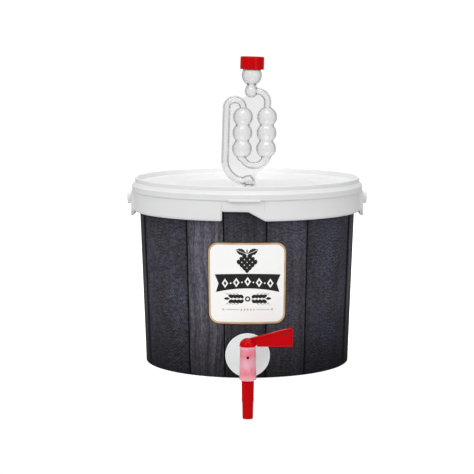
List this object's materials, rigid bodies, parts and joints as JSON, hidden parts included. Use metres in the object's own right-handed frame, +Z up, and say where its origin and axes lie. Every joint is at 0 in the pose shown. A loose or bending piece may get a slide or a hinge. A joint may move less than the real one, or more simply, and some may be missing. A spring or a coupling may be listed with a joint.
{
  "type": "plastic fermenting bucket",
  "caption": "Small white plastic fermenting bucket in a dark wood-print wrap, with snap lid, S-shaped airlock in a grommet, lever drum tap and bail handle.",
  "frame": {"origin": "centre of the underside of the bucket's flat base", "axes": "+Z up along the bucket's axis; -Y is the front, where the tap and the badge are; +X is to the right seen from the front"},
  "size_m": [0.2342, 0.272, 0.3296],
  "materials": {
    "white_polypropylene": "satin opaque moulding",
    "wood_print_film": "dark plank print under a satin film",
    "badge_print_film": null,
    "red_polypropylene": "glossy red moulding",
    "natural_polypropylene": "milky translucent moulding",
    "clear_polystyrene": "clear moulding",
    "white_silicone": "soft matt white rubber"
  },
  "bodies": {
    "bucket": {"bucket_shell": "white_polypropylene", "printed_wrap": "wood_print_film", "front_badge": "badge_print_film", "tap_body": "natural_polypropylene", "tap_outer_seal": "white_silicone", "tap_inner_seal": "white_silicone", "tap_back_nut": "natural_polypropylene"},
    "lid": {"lid": "white_polypropylene", "airlock_grommet": "white_silicone"},
    "airlock": {"airlock_body": "clear_polystyrene"},
    "airlock_cap": {"airlock_cap": "red_polypropylene"},
    "tap_lever": {"tap_lever": "red_polypropylene"},
    "bail": {"bail_handle": "white_polypropylene"}
  },
  "joints": [
    {"name": "lid_lift", "type": "slide", "parent": "bucket", "child": "lid", "axis": [0, 0, 1], "range_m": [0, 0.2]},
    {"name": "airlock_pull", "type": "slide", "parent": "lid", "child": "airlock", "axis": [0.0314, 0, 0.9995], "range_m": [0, 0.045]},
    {"name": "cap_pull", "type": "slide", "parent": "airlock", "child": "airlock_cap", "axis": [0.0314, 0, 0.9995], "range_m": [0, 0.015]},
    {"name": "tap_turn", "type": "hinge", "parent": "bucket", "child": "tap_lever", "pos_m": [0, -0.128, 0.0226], "axis": [0, 0, -1], "range_deg": [0, 90]},
    {"name": "bail_swing", "type": "hinge", "parent": "bucket", "child": "bail", "pos_m": [0, 0, 0.15935], "axis": [1, 0, 0], "range_deg": [0, 106]}
  ]
}
